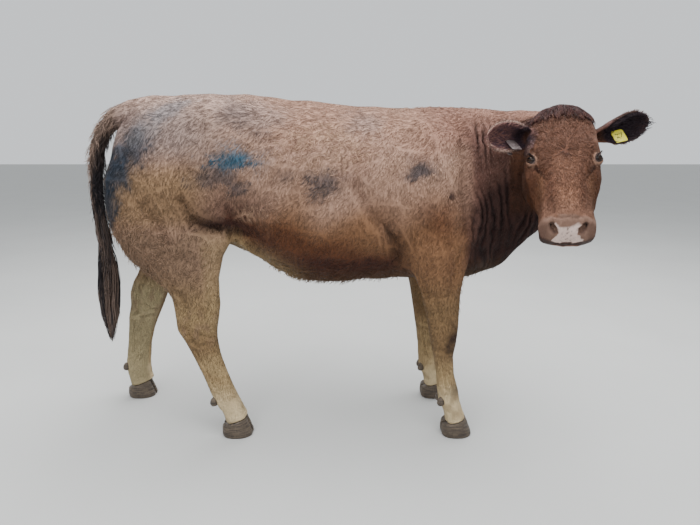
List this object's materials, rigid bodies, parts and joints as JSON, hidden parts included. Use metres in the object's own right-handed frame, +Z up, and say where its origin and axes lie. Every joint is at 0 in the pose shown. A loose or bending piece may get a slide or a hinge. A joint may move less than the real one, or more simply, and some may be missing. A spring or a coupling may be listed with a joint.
{
  "type": "cow",
  "caption": "Life-size still model of a young beef cow standing with its head turned to its right.",
  "frame": {"origin": "on the ground, at the middle of the animal's overall footprint", "axes": "+X the way the body faces, +Y its left side, +Z up"},
  "size_m": [2.0922, 0.8252, 1.3367],
  "materials": {
    "coat": "short reddish brown hair",
    "dark_hair": "long dark hair",
    "horn": "dull dark hoof horn",
    "eye": "wet and dark",
    "tag": "smooth yellow",
    "tag_pale": "smooth pale"
  },
  "bodies": {
    "root": {"ear_left": "coat", "ear_right": "coat", "ear_tag_left": "tag", "ear_tag_right": "tag_pale", "eye_left": "eye", "eye_right": "eye", "foreleg_left": "coat", "foreleg_left_claw_inner": "horn", "foreleg_left_claw_outer": "horn", "foreleg_left_dewclaw_inner": "horn", "foreleg_left_dewclaw_outer": "horn", "foreleg_right": "coat", "foreleg_right_claw_inner": "horn", "foreleg_right_claw_outer": "horn", "foreleg_right_dewclaw_inner": "horn", "foreleg_right_dewclaw_outer": "horn", "head": "coat", "hindleg_left": "coat", "hindleg_left_claw_inner": "horn", "hindleg_left_claw_outer": "horn", "hindleg_left_dewclaw_inner": "horn", "hindleg_left_dewclaw_outer": "horn", "hindleg_right": "coat", "hindleg_right_claw_inner": "horn", "hindleg_right_claw_outer": "horn", "hindleg_right_dewclaw_inner": "horn", "hindleg_right_dewclaw_outer": "horn", "neck": "coat", "tail_dock": "coat", "tail_switch": "dark_hair", "trunk": "coat"}
  },
  "joints": []
}
